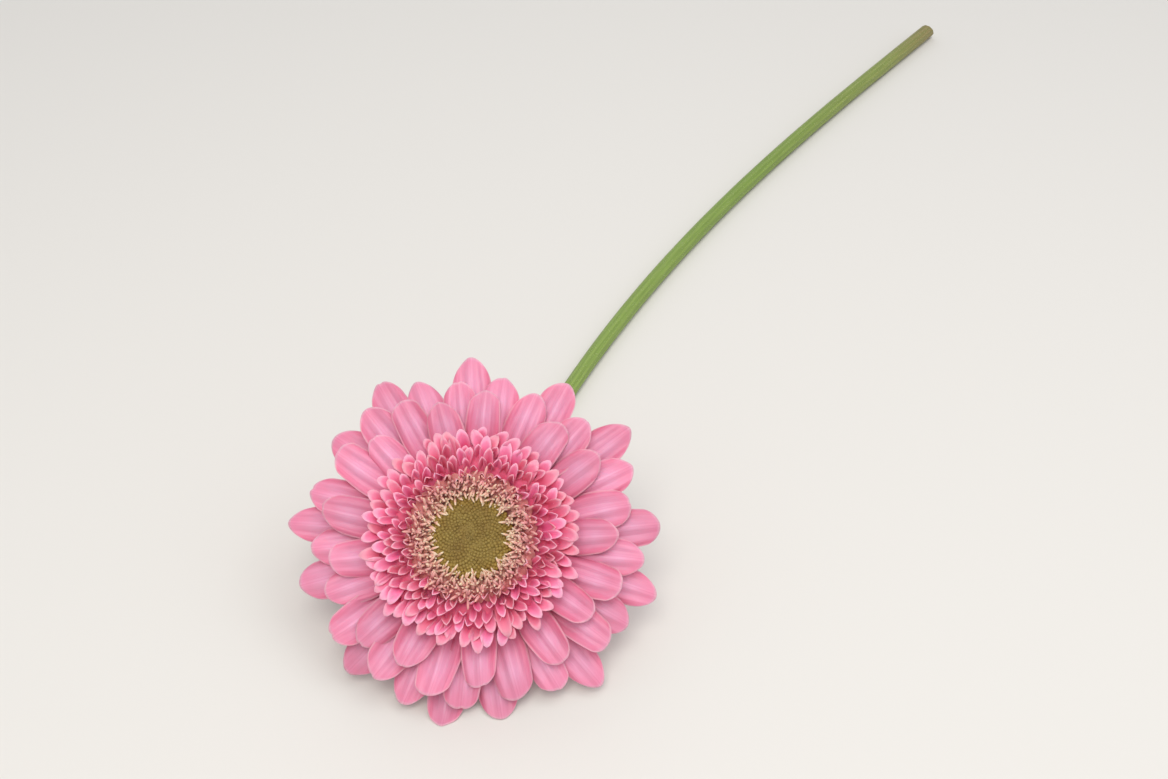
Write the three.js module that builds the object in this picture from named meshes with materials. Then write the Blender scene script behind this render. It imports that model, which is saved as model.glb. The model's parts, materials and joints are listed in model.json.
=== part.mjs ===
// A cut gerbera lying on a table: a large double head on a bare, leafless stalk.
// Millimetres, +Z up. The table is z = 0, and the stalk runs from the head towards +Y.
// The head has a frame of its own: origin where the stalk meets it, z along its axis, out of its face.
import * as THREE from "three";

const degree = Math.PI / 180;

// The pose: where the face of the head looks, and how the stalk comes down to the table.
const faceElevation = 52; // degrees above the horizontal
const faceTurn = 30; // degrees from -Y towards +X
const tablePress = 6; // how far the lowest ray tip would reach below the table if it didn't bend
const tableSoftness = 1.0; // height over which a ray floret bends as it meets the table

// The stalk.
const stalkLength = 480;
const stalkTopRadius = 2.9;
const stalkFootRadius = 3.9;
const neckTurn = 12; // degrees that the stalk still turns sideways once it lies on the table
const stalkBow = 9; // sideways bow of the part that lies on the table
const cutSlant = 24; // degrees that the cut leans from square
const stalkSides = 12;

const jointGap = 0.3; // clearance between pieces that stand on or against each other

// The involucre: two rows of green bracts that cup the receptacle.
const bractThickness = 0.8;
const bractStep = 3.8; // how far the outer row's points stand below the inner row's
const bractCount = 20;

// Ray florets: the large strap-shaped petals, set round the head by the golden angle.
const rayCount = 50;
const headRadius = 60; // axis to the longest tip
const innerRayRadius = 44; // axis to the tips of the innermost rays
const rayHalfWidthOuter = 6.5;
const rayHalfWidthInner = 5.7;
const rayThickness = 0.5;
const rayUpright = 2; // length that the outermost rays stand up from the receptacle
const rayBase = 5.5; // length over which a ray floret bends out over the bracts
const rayFanOuter = -1; // degrees above the head's plane
const rayFanInner = 16;
const rayDroopOuter = 8; // degrees that a ray floret bends down towards its tip
const rayDroopInner = 5;
const rayScatter = { fan: 0.6, droop: 2, around: 1.6, twist: 3, sway: 1.4, reach: 0.025, width: 0.05 };
const goldenAngle = 137.508;
const firstRay = -15; // degrees that the outermost ray floret is turned round the head

// The short florets, from the eye outwards: the open disc florets, then three dense rows of trans
// florets. Each row is a crown with a tooth for each floret. reach is from the eye's rim to the tips,
// rise from the receptacle to the tips, and flare how late the row leans out.
const rowThickness = 1;
const floretRows = [
  { name: "disc_florets", reach: 5.8, rise: 22, teeth: 26, flare: 0.45 },
  { name: "trans_florets_inner", reach: 11.1, rise: 23, teeth: 24, flare: 0.5 },
  { name: "trans_florets_middle", reach: 16.1, rise: 22, teeth: 27, flare: 0.6 },
  { name: "trans_florets_outer", reach: 20.6, rise: 19.5, teeth: 30, flare: 0.72 },
];

// The eye: closed disc buds, packed into one bundle.
const eyeRadius = 12.4;
const eyeRise = 18.4;
const eyeFootRadius = 3.2;

// The receptacle, the solid cushion that every floret stands on. The short rows stand round the eye,
// each a step further out than the one inside it, and the rays on a band round them.
const receptacleHeight = 8.8;
const receptacleRim = 0.4; // bare edge outside the outermost rays
const rayBand = 3.4; // width of the band that the rays stand on
const rayClearance = 1.8; // from the outermost short row to the innermost ray
const rowFoot = receptacleHeight + jointGap;
const rowStep = rowThickness + jointGap;
const footRadius = (row) => eyeFootRadius + rowStep * (row + 0.5);
const innerRayFoot = footRadius(floretRows.length) + rayClearance;
const receptacleRadius = innerRayFoot + rayBand + receptacleRim;
const eyeHeight = rowFoot + eyeRise;
const innerBractTip = rowFoot + rayUpright + 0.38 * rayBase; // the points end just below the rays

// A repeatable scatter from -1 to 1, so that no two florets are quite alike.
function scatter(index, salt) {
  const x = Math.sin(index * 12.9898 + salt * 78.233) * 43758.5453;
  return 2 * (x - Math.floor(x)) - 1;
}

const mix = THREE.MathUtils.lerp;
const smooth = THREE.MathUtils.smoothstep;

// The head's own frame, as columns in the part's frame.
const faceAxis = new THREE.Vector3(
  Math.sin(faceTurn * degree) * Math.cos(faceElevation * degree),
  -Math.cos(faceTurn * degree) * Math.cos(faceElevation * degree),
  Math.sin(faceElevation * degree),
);
const sideAxis = new THREE.Vector3(0, 0, 1).cross(faceAxis).normalize();
const upAxis = faceAxis.clone().cross(sideAxis);
const tableNormal = new THREE.Vector3(sideAxis.z, upAxis.z, faceAxis.z); // the table's up, in the head's frame

// A ray floret's middle line in its own plane: it stands up from the receptacle, bends out over the
// bracts and runs out to its tip. share is 0 on the outermost floret and 1 on the innermost.
function rayLine(share, index) {
  const upright = rayUpright + share;
  const fan = (mix(rayFanOuter, rayFanInner, share) + rayScatter.fan * scatter(index, 1)) * degree;
  const droop = (mix(rayDroopOuter, rayDroopInner, share) + rayScatter.droop * scatter(index, 2)) * degree;
  const steep = 85 * degree;
  const tipRadius = mix(headRadius, innerRayRadius, share) * (1 + rayScatter.reach * scatter(index, 3));
  let spot = { radius: mix(innerRayFoot + rayBand, innerRayFoot, share), height: rowFoot, angle: steep, out: 0 };
  const blade = (tipRadius - spot.radius - 0.73 * rayBase) / Math.cos(fan - droop / 2);
  const bends = [0.25, 0.5, 0.75, 1].map((part) => upright + part * rayBase);
  const blades = [0.1, 0.27, 0.45, 0.63, 0.78, 0.91, 1].map((part) => upright + rayBase + part * blade);
  const line = [spot];
  let run = 0;
  for (const stop of [...bends, ...blades]) {
    const step = (stop - run) / 8;
    for (let i = 0; i < 8; i++) {
      const out = Math.max(0, (run + step / 2 - upright - rayBase) / blade);
      const angle = mix(steep, fan, smooth(run + step / 2, upright, upright + rayBase)) - droop * out * out;
      run += step;
      spot = {
        radius: spot.radius + step * Math.cos(angle),
        height: spot.height + step * Math.sin(angle),
        angle,
        out: Math.max(0, (run - upright - rayBase) / blade),
      };
    }
    line.push(spot);
  }
  return line;
}

// Half the width of a ray floret at a share of its blade: a narrow foot, a broad strap and a round tip.
function rayHalfWidth(out, broadest) {
  const strap = 0.17 + 0.83 * smooth(out, -0.05, 0.62);
  const past = Math.max(0, (out - 0.66) / 0.34);
  return broadest * strap * Math.max(0.2, Math.sqrt(Math.max(0, 1 - Math.pow(past, 2.3))));
}

// Lifts a point in the head's frame that would lie in the table, so that it rests on it.
function restOnTable(point, clearance) {
  const above = headHeight + point.dot(tableNormal) - clearance;
  const lift = tableSoftness * Math.log(1 + Math.exp(-above / tableSoftness));
  return point.addScaledVector(tableNormal, lift);
}

// The height of the head's origin that puts the lowest ray tip tablePress into the table.
const outerLine = rayLine(0, 0);
const outerTip = outerLine[outerLine.length - 1];
const headHeight =
  headRadius * Math.cos(faceElevation * degree) - outerTip.height * Math.sin(faceElevation * degree) - tablePress;

// A closed sheet of even thickness about a grid of middle points. A ring's rows join end to end.
function sheetSolid(rows, thickness, ring = false) {
  const across = rows[0].length;
  const positions = [];
  const middle = (i, j) => rows[i][ring ? (j + across) % across : Math.min(across - 1, Math.max(0, j))];
  const rowAt = (i) => Math.min(rows.length - 1, Math.max(0, i));
  for (const side of [0.5, -0.5])
    rows.forEach((row, i) =>
      row.forEach((point, j) => {
        const along = middle(rowAt(i + 1), j).clone().sub(middle(rowAt(i - 1), j));
        const sideways = middle(i, j + 1).clone().sub(middle(i, j - 1));
        const normal = along.cross(sideways).normalize();
        positions.push(...point.clone().addScaledVector(normal, side * thickness));
      }),
    );
  const index = [];
  const under = rows.length * across;
  const quad = (a, b, c, d) => index.push(a, b, c, a, c, d);
  const last = rows.length - 1;
  for (let i = 0; i < last; i++)
    for (let j = 0; j < (ring ? across : across - 1); j++) {
      const [a, b] = [i * across + j, i * across + ((j + 1) % across)];
      quad(a, a + across, b + across, b);
      quad(under + a, under + b, under + b + across, under + a + across);
    }
  for (let j = 0; j < (ring ? across : across - 1); j++) {
    const next = (j + 1) % across;
    quad(j, next, under + next, under + j);
    quad(last * across + j, under + last * across + j, under + last * across + next, last * across + next);
  }
  for (let i = 0; i < last && !ring; i++) {
    const [a, b] = [i * across, (i + 1) * across];
    quad(a, under + a, under + b, b);
    quad(a + across - 1, b + across - 1, under + b + across - 1, under + a + across - 1);
  }
  const geometry = new THREE.BufferGeometry();
  geometry.setAttribute("position", new THREE.Float32BufferAttribute(positions, 3));
  geometry.setIndex(index);
  geometry.computeVertexNormals();
  return geometry;
}

// One ray floret in the head's frame, counted from the outermost.
function rayFloret(index) {
  const share = index / (rayCount - 1);
  const line = rayLine(share, index);
  const around = (firstRay + index * goldenAngle + rayScatter.around * scatter(index, 4)) * degree;
  const outward = new THREE.Vector3(Math.cos(around), Math.sin(around), 0);
  const sideways = new THREE.Vector3(-Math.sin(around), Math.cos(around), 0);
  const axis = new THREE.Vector3(0, 0, 1);
  const broadest = mix(rayHalfWidthOuter, rayHalfWidthInner, share) * (1 + rayScatter.width * scatter(index, 5));
  const twist = rayScatter.twist * scatter(index, 6) * degree;
  const sway = rayScatter.sway * scatter(index, 7);
  const rows = line.map(({ radius, height, angle, out }) => {
    const turn = twist * out;
    const up = outward.clone().multiplyScalar(-Math.sin(angle)).addScaledVector(axis, Math.cos(angle));
    const across = sideways.clone().multiplyScalar(Math.cos(turn)).addScaledVector(up, Math.sin(turn));
    const over = up.multiplyScalar(Math.cos(turn)).addScaledVector(sideways, -Math.sin(turn));
    const half = rayHalfWidth(out, broadest);
    const arch = mix(-0.22, 0.12, smooth(out, 0.05, 0.6)); // a channel at the foot, an arch at the tip
    return [-1, 0, 1].map((v) => {
      const point = outward.clone().multiplyScalar(radius).addScaledVector(axis, height);
      point.addScaledVector(sideways, sway * out * out);
      point.addScaledVector(across, v * half).addScaledVector(over, -arch * half * v * v);
      return restOnTable(point, rayThickness / 2);
    });
  });
  return sheetSolid(rows, rayThickness);
}

// A crown: a ring-shaped sheet on a middle line of [radius, height] points, with a tooth for each floret.
function crown(line, teeth, notch, thickness) {
  const curve = new THREE.SplineCurve(line.map(([radius, height]) => new THREE.Vector2(radius, height)));
  const rows = [0, 0.3, 0.6, 0.82, 1].map((share) =>
    Array.from({ length: 2 * teeth }, (_, j) => {
      const around = (j / teeth) * Math.PI;
      const spot = curve.getPoint(j % 2 ? share * (1 - notch * share) : share);
      return new THREE.Vector3(Math.cos(around) * spot.x, Math.sin(around) * spot.x, spot.y);
    }),
  );
  return sheetSolid(rows, thickness, true);
}

// How far out a floret leans at a share of its height: a steady slope, and a flare near its tip.
const lean = (share, flare) => (1 - flare) * share + flare * Math.pow(share, 3);

// A row of disc or trans florets: it stands up from the receptacle and leans out to its tips.
function floretRow({ reach, rise, teeth, flare }, row) {
  const line = [0, 0.25, 0.5, 0.75, 1].map((share) => [
    mix(footRadius(row), eyeRadius + reach, lean(share, flare)),
    rowFoot + share * rise,
  ]);
  return crown(line, teeth, 0.12, rowThickness);
}

// The receptacle, turned about the head's axis.
const receptacleOutline = [
  [0, 0],
  [stalkTopRadius + 0.4, 0],
  [0.42 * receptacleRadius, 0.1 * receptacleHeight],
  [0.78 * receptacleRadius, 0.46 * receptacleHeight],
  [0.98 * receptacleRadius, 0.86 * receptacleHeight],
  [receptacleRadius, receptacleHeight],
  [0, receptacleHeight],
];

// A row of bracts outside the receptacle, clear of it by a gap and pointed at its top.
function bractRow(layer, tipHeight) {
  const clear = (jointGap + bractThickness) * layer + jointGap + bractThickness / 2;
  const line = [
    [0.44 * receptacleRadius + 0.4 * clear, 0.1 * receptacleHeight - clear],
    [0.8 * receptacleRadius + 0.75 * clear, 0.44 * receptacleHeight - 0.75 * clear],
    [receptacleRadius + clear, 0.82 * receptacleHeight - 0.3 * clear],
    [receptacleRadius + clear + 0.16 * (tipHeight - 0.8 * receptacleHeight) + 0.4, tipHeight],
  ];
  return crown(line, bractCount, 0.22, bractThickness);
}

// The eye, narrow at its foot, with a rounded rim and a shallow dip in the middle.
const eyeSide = [0, 0.3, 0.6, 0.9].map((share) => [
  mix(eyeFootRadius, eyeRadius, lean(share, floretRows[0].flare)),
  rowFoot + share * eyeRise,
]);
const eyeOutline = [
  [0, rowFoot],
  ...eyeSide,
  [0.84 * eyeRadius, eyeHeight],
  [0.5 * eyeRadius, eyeHeight],
  [0, eyeHeight - 1],
];

function turned(outline, segments) {
  return new THREE.LatheGeometry(outline.map(([radius, height]) => new THREE.Vector2(radius, height)), segments)
    .rotateX(90 * degree);
}

// The stalk's middle line: a round bend below the head that brings it down to the table, then the
// part that lies there.
const headOrigin = new THREE.Vector3(0, 0, headHeight);
const stalkTop = headOrigin.clone().addScaledVector(faceAxis, -jointGap);
const landingRadius = mix(stalkTopRadius, stalkFootRadius, 0.1);
const neckRadius = (stalkTop.z - landingRadius) / (1 - Math.cos(faceElevation * degree));
const neckHandle = (4 / 3) * Math.tan((faceElevation * degree) / 4) * neckRadius;
const neckReach = neckRadius * Math.sin(faceElevation * degree);
const heading = (turn) => new THREE.Vector3(-Math.sin(turn * degree), Math.cos(turn * degree), 0);
const landingWay = heading(neckTurn);
const landing = stalkTop.clone().addScaledVector(heading((faceTurn + neckTurn) / 2), neckReach).setZ(landingRadius);
const lying = stalkLength - neckRadius * faceElevation * degree;
const foot = new THREE.Vector3(landing.x + stalkBow, landing.y + lying, stalkFootRadius);
const bend = new THREE.CubicBezierCurve3(
  stalkTop,
  stalkTop.clone().addScaledVector(faceAxis, -neckHandle),
  landing.clone().addScaledVector(landingWay, -neckHandle),
  landing,
);
const lie = new THREE.CubicBezierCurve3(
  landing,
  landing.clone().addScaledVector(landingWay, lying / 3).setZ(mix(landingRadius, stalkFootRadius, 1 / 3)),
  new THREE.Vector3(foot.x - 2 * stalkBow, foot.y - lying / 3, mix(landingRadius, stalkFootRadius, 2 / 3)),
  foot,
);

// The stalk: round sections along its middle line, with the foot cut at a slant.
function stalk() {
  const stations = [];
  for (let i = 0; i < 14; i++)
    stations.push({ curve: bend, at: i / 14, radius: mix(stalkTopRadius, landingRadius, i / 14) });
  for (let i = 0; i <= 20; i++)
    stations.push({ curve: lie, at: i / 20, radius: mix(landingRadius, stalkFootRadius, i / 20) });
  const positions = [];
  stations.forEach(({ curve, at, radius }, i) => {
    const centre = curve.getPoint(at);
    const ahead = curve.getTangent(at);
    const side = ahead.clone().cross(new THREE.Vector3(0, 0, 1)).normalize();
    const over = side.clone().cross(ahead);
    const slant = i === stations.length - 1 ? Math.tan(cutSlant * degree) : 0;
    for (let j = 0; j < stalkSides; j++) {
      const turn = (j / stalkSides) * 2 * Math.PI;
      const point = centre.clone().addScaledVector(side, radius * Math.cos(turn));
      point.addScaledVector(over, radius * Math.sin(turn)).addScaledVector(ahead, -slant * radius * Math.sin(turn));
      positions.push(...point);
    }
  });
  const index = [];
  for (let i = 0; i < stations.length - 1; i++)
    for (let j = 0; j < stalkSides; j++) {
      const [a, b] = [i * stalkSides + j, i * stalkSides + ((j + 1) % stalkSides)];
      index.push(a, b + stalkSides, b, a, a + stalkSides, b + stalkSides);
    }
  const end = (stations.length - 1) * stalkSides;
  for (let j = 1; j < stalkSides - 1; j++) {
    index.push(0, j, j + 1);
    index.push(end, end + j + 1, end + j);
  }
  const geometry = new THREE.BufferGeometry();
  geometry.setAttribute("position", new THREE.Float32BufferAttribute(positions, 3));
  geometry.setIndex(index);
  geometry.computeVertexNormals();
  return geometry;
}

function skin(colour, roughness) {
  return new THREE.MeshStandardMaterial({ color: colour, roughness, metalness: 0, side: THREE.DoubleSide });
}

const skins = {
  stalk: skin(0x8a9c55, 0.6),
  bract: skin(0x76883f, 0.65),
  receptacle: skin(0x9aa463, 0.7),
  ray: skin(0xe18aa8, 0.55),
  trans: skin(0xcf6a80, 0.6),
  disc: skin(0xd8b090, 0.65),
  bud: skin(0x8c7a34, 0.7),
};

function piece(name, geometry, material) {
  const mesh = new THREE.Mesh(geometry, material);
  mesh.name = name;
  return mesh;
}

const head = new THREE.Group();
head.position.copy(headOrigin);
head.quaternion.setFromRotationMatrix(new THREE.Matrix4().makeBasis(sideAxis, upAxis, faceAxis));
head.add(piece("receptacle", turned(receptacleOutline, 24), skins.receptacle));
head.add(piece("involucre_inner", bractRow(0, innerBractTip), skins.bract));
head.add(piece("involucre_outer", bractRow(1, innerBractTip - bractStep), skins.bract));
for (let index = 0; index < rayCount; index++)
  head.add(piece("ray_floret_" + String(index + 1).padStart(2, "0"), rayFloret(index), skins.ray));
floretRows.forEach((shape, row) =>
  head.add(piece(shape.name, floretRow(shape, row), row ? skins.trans : skins.disc)),
);
head.add(piece("disc_buds", turned(eyeOutline, 24), skins.bud));

// The origin is under the middle of the flower's box, on the table.
const flower = new THREE.Group();
flower.add(head, piece("stalk", stalk(), skins.stalk));
const box = new THREE.Box3().setFromObject(flower, true);
const middle = box.getCenter(new THREE.Vector3());
flower.position.set(-middle.x, -middle.y, -box.min.z);

export default flower;
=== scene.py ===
import json
import math

import bpy
import numpy as np
from mathutils import Matrix, Vector

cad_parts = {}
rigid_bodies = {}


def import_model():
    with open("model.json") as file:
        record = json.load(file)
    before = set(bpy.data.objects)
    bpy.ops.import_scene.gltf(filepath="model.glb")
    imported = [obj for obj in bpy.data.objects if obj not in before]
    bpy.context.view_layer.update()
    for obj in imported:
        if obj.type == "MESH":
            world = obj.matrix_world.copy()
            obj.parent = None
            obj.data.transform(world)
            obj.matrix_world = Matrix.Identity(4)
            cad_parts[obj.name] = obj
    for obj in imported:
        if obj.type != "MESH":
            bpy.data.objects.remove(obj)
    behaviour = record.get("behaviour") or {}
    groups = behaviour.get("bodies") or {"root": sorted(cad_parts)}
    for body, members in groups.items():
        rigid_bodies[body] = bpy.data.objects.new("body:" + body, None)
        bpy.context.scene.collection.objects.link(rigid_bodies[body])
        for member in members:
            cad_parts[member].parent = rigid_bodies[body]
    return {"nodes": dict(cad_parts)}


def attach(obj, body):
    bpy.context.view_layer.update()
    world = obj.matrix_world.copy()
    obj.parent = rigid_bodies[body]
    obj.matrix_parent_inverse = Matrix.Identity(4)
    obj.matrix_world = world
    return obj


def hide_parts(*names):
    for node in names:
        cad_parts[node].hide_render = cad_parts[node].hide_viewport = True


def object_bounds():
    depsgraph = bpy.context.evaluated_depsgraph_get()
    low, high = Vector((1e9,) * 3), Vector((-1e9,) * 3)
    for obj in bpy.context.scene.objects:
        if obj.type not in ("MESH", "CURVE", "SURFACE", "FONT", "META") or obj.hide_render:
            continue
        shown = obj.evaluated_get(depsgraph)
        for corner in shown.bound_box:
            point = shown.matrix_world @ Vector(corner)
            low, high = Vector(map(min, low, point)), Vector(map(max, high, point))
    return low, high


# A cut gerbera lying on a pale table. Lengths are in millimetres until a mesh is placed, then in metres.
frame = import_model()
cadLow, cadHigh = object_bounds()
mm = 0.001
degree = math.pi / 180
goldenAngle = 137.508
print("frame loaded, CAD box", [round(v, 4) for v in (*cadLow, *cadHigh)])


def hexColour(text):
    # sRGB hex to the linear colour that a socket holds
    channels = [int(text[i:i + 2], 16) / 255 for i in (1, 3, 5)]
    return tuple(c / 12.92 if c <= 0.04045 else ((c + 0.055) / 1.055) ** 2.4 for c in channels) + (1.0,)


def setInputs(tree, node, inputs):
    # an input is a value, another node's socket, or a node, whose first open output is meant
    for key, value in inputs.items():
        if isinstance(value, bpy.types.Node):
            value = next(socket for socket in value.outputs if socket.enabled)
        if isinstance(value, bpy.types.NodeSocket):
            tree.links.new(value, node.inputs[key])
        else:
            node.inputs[key].default_value = value


def addNode(tree, kind, settings=None, inputs=None):
    # one node with its settings and its inputs
    node = tree.nodes.new(kind)
    for name, value in (settings or {}).items():
        setattr(node, name, value)
    setInputs(tree, node, inputs or {})
    return node


def mix(a, b, t):
    return a + (b - a) * t


def smooth(x, low, high):
    t = np.clip((x - low) / (high - low), 0, 1)
    return t * t * (3 - 2 * t)


def scatter(index, salt):
    # the same repeatable scatter from -1 to 1 as the CAD part's
    x = math.sin(index * 12.9898 + salt * 78.233) * 43758.5453
    return 2 * (x - math.floor(x)) - 1


def direction(azimuth, elevation):
    # a unit direction in degrees: azimuth 0 points to the front, elevation 90 straight up
    a, e = azimuth * degree, elevation * degree
    return math.sin(a) * math.cos(e), -math.cos(a) * math.cos(e), math.sin(e)


def roundAxes(around):
    # the outward and the sideways direction at an angle round the head's axis
    outward = np.array([math.cos(around), math.sin(around), 0])
    return outward, np.array([-math.sin(around), math.cos(around), 0])


def makePiece(name, verts, faces, material, uvs=None, values=None):
    # a smooth-shaded mesh object with a UV map and point attributes; verts in metres, and a value is
    # one for each point or one for all
    mesh = bpy.data.meshes.new(name)
    mesh.from_pydata([tuple(v) for v in verts], [], [tuple(f) for f in faces])
    mesh.polygons.foreach_set("use_smooth", [True] * len(mesh.polygons))
    if uvs is not None:
        corners = np.zeros(len(mesh.loops), dtype=np.int32)
        mesh.loops.foreach_get("vertex_index", corners)
        layer = mesh.uv_layers.new(name="UVMap")
        layer.data.foreach_set("uv", np.asarray(uvs, dtype=np.float32)[corners].ravel())
    for label, data in (values or {}).items():
        carried = np.array(np.broadcast_to(data, len(verts)), dtype=np.float32)
        mesh.attributes.new(label, "FLOAT", "POINT").data.foreach_set("value", carried)
    mesh.materials.append(material)
    mesh.update()
    piece = bpy.data.objects.new(name, mesh)
    bpy.context.scene.collection.objects.link(piece)
    return piece


def placePiece(piece, slot, *nodes):
    # every piece belongs to the flower's one body and stays inside the CAD part's box: hairs under the stalk
    # are pressed flat by the table
    count = len(piece.data.vertices)
    places = np.zeros(count * 3, dtype=np.float32)
    piece.data.vertices.foreach_get("co", places)
    places = np.clip(places.reshape(count, 3), np.array(cadLow), np.array(cadHigh))
    piece.data.vertices.foreach_set("co", places.astype(np.float32).ravel())
    piece.data.update()
    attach(piece, "root")
    if nodes:
        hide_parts(*nodes)


def leafColumns(count):
    # places across a leaf from -1 to 1, closer together at its rims
    return np.sin(np.linspace(-1, 1, count) * math.pi / 2)[None, :]


def gridFaces(grid):
    # the quads of a grid of point numbers
    corners = (grid[:-1, :-1], grid[1:, :-1], grid[1:, 1:], grid[:-1, 1:])
    return np.stack([c.ravel() for c in corners], axis=1)


def sheetShell(points, thickness, spread):
    # a closed shell about a grid of middle points, along the rows first, then across;
    # spread holds the columns' places from -1 to 1
    rows, across = points.shape[:2]
    along = np.gradient(points, axis=0)
    sideways = np.gradient(points, axis=1)
    normal = np.cross(along, sideways)
    normal /= np.maximum(np.linalg.norm(normal, axis=2, keepdims=True), 1e-9)
    half = np.broadcast_to(np.asarray(thickness, float), (rows, across))[..., None] / 2
    verts = np.concatenate([(points + normal * half).reshape(-1, 3), (points - normal * half).reshape(-1, 3)])
    top = np.arange(rows * across).reshape(rows, across)
    under = top + rows * across
    rims = [
        (top[:-1, 0], under[:-1, 0], under[1:, 0], top[1:, 0]),
        (top[1:, -1], under[1:, -1], under[:-1, -1], top[:-1, -1]),
        (top[0, :-1], top[0, 1:], under[0, 1:], under[0, :-1]),
        (top[-1, 1:], top[-1, :-1], under[-1, :-1], under[-1, 1:]),
    ]
    faces = [gridFaces(top), gridFaces(under)[:, [0, 3, 2, 1]], *(np.stack(rim, axis=1) for rim in rims)]
    u, v = np.meshgrid((np.ravel(spread) + 1) / 2, np.linspace(0, 1, rows))
    uvs = np.tile(np.stack([u.ravel(), v.ravel()], axis=1), (2, 1))
    side = np.repeat([0.0, 1.0], rows * across)
    return verts, np.concatenate(faces), uvs, side


def profileRings(profile, sides, flutes=0, depth=0):
    # a ring of points for each radius and height of a turned profile, fluted where it has flutes
    angles = np.arange(sides) / sides * 2 * math.pi
    swell = 1 + depth * np.abs(np.cos(flutes / 2 * angles))
    return [np.stack([r * swell * np.cos(angles), r * swell * np.sin(angles), 0 * angles + h], axis=1)
            for r, h in profile]


def turnedShell(rings):
    # a closed shell through rings of points, with a fan at each end
    count = len(rings[0])
    verts = np.concatenate([*rings, rings[0].mean(0)[None], rings[-1].mean(0)[None]])
    faces = []
    for i in range(len(rings) - 1):
        for j in range(count):
            a, b = i * count + j, i * count + (j + 1) % count
            faces.append((a, b, b + count, a + count))
    start, end = len(rings) * count, len(rings) * count + 1
    last = (len(rings) - 1) * count
    for j in range(count):
        faces.append((start, (j + 1) % count, j))
        faces.append((end, last + j, last + (j + 1) % count))
    return verts, faces


def joinMeshes(parts):
    # one mesh of several parts, each with its points, its faces and then what its points carry
    starts = np.cumsum([0] + [len(part[0]) for part in parts])
    faces = [tuple(i + start for i in face) for part, start in zip(parts, starts) for face in part[1]]
    verts, *carried = [np.concatenate([part[k] for part in parts]) for k in range(len(parts[0])) if k != 1]
    return verts, faces, *carried


# the head's own frame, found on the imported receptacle
pose = {"faceElevation": 52, "faceTurn": 30}  # degrees
tilt = pose["faceElevation"] * degree
faceAxis = np.array(direction(pose["faceTurn"], pose["faceElevation"]))
sideAxis = np.cross([0, 0, 1], faceAxis)
sideAxis /= np.linalg.norm(sideAxis)
upAxis = np.cross(faceAxis, sideAxis)
headTurn = np.stack([sideAxis, upAxis, faceAxis])  # rows: the head's axes in the part's frame

cushion = frame["nodes"]["receptacle"].data
cushionPoints = np.array([v.co for v in cushion.vertices]) @ headTurn.T
low, high = cushionPoints.min(0), cushionPoints.max(0)
headOrigin = np.array([(low[0] + high[0]) / 2, (low[1] + high[1]) / 2, low[2]]) @ headTurn / mm
receptacleRadius = (high[0] - low[0]) / 2 / mm
receptacleHeight = (high[2] - low[2]) / mm
print("head origin mm", headOrigin.round(2))
print("receptacle mm", round(receptacleRadius, 2), round(receptacleHeight, 2))


def toPart(points):
    # from the head's frame to the part's, still in millimetres
    return np.asarray(points) @ headTurn + headOrigin


headPlace = Matrix.Translation(Vector(headOrigin * mm))
headMatrix = headPlace @ Matrix(headTurn.T.tolist()).to_4x4() @ Matrix.Scale(mm, 4)


eased = {"interpolation_type": "SMOOTHSTEP"}  # for shares that start and end softly
blend = {"data_type": "RGBA"}  # for one colour over another


def startMaterial(name, finish, *labels):
    # a material with its finish, its skin node and the values of those names that the points carry
    material = bpy.data.materials.new(name)
    material.use_nodes = True
    tree = material.node_tree
    skin = tree.nodes["Principled BSDF"]
    setInputs(tree, skin, finish)
    carried = [addNode(tree, "ShaderNodeAttribute", {"attribute_name": label}) for label in labels]
    return material, tree, skin, *(node.outputs["Fac"] for node in carried)


def setRamp(ramp, stops):
    elements = ramp.color_ramp.elements
    while len(elements) > 1:
        elements.remove(elements[-1])
    elements[0].position, elements[0].color = stops[0][0], hexColour(stops[0][1])
    for position, colour in stops[1:]:
        elements.new(position).color = hexColour(colour)


def readPlace(tree):
    # a UV map, then how far its points are across and along
    uv = addNode(tree, "ShaderNodeUVMap", {"uv_map": "UVMap"})
    split = addNode(tree, "ShaderNodeSeparateXYZ", inputs={0: uv})
    return uv, split.outputs["X"], split.outputs["Y"]


def distanceFromMiddle(tree, across):
    # 0 at a leaf's middle line, 0.5 at its rim
    fromMiddle = addNode(tree, "ShaderNodeMath", {"operation": "SUBTRACT"}, {0: across, 1: 0.5})
    return addNode(tree, "ShaderNodeMath", {"operation": "ABSOLUTE"}, {0: fromMiddle})


def toneBy(tree, driver, start, end, darkest, lightest, colour):
    # the colour made darker or lighter as the driver goes from start to end
    value = addNode(tree, "ShaderNodeMapRange", inputs={
        "Value": driver, "From Min": start, "From Max": end, "To Min": darkest, "To Max": lightest})
    return addNode(tree, "ShaderNodeHueSaturation", inputs={"Value": value, "Color": colour})


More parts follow.
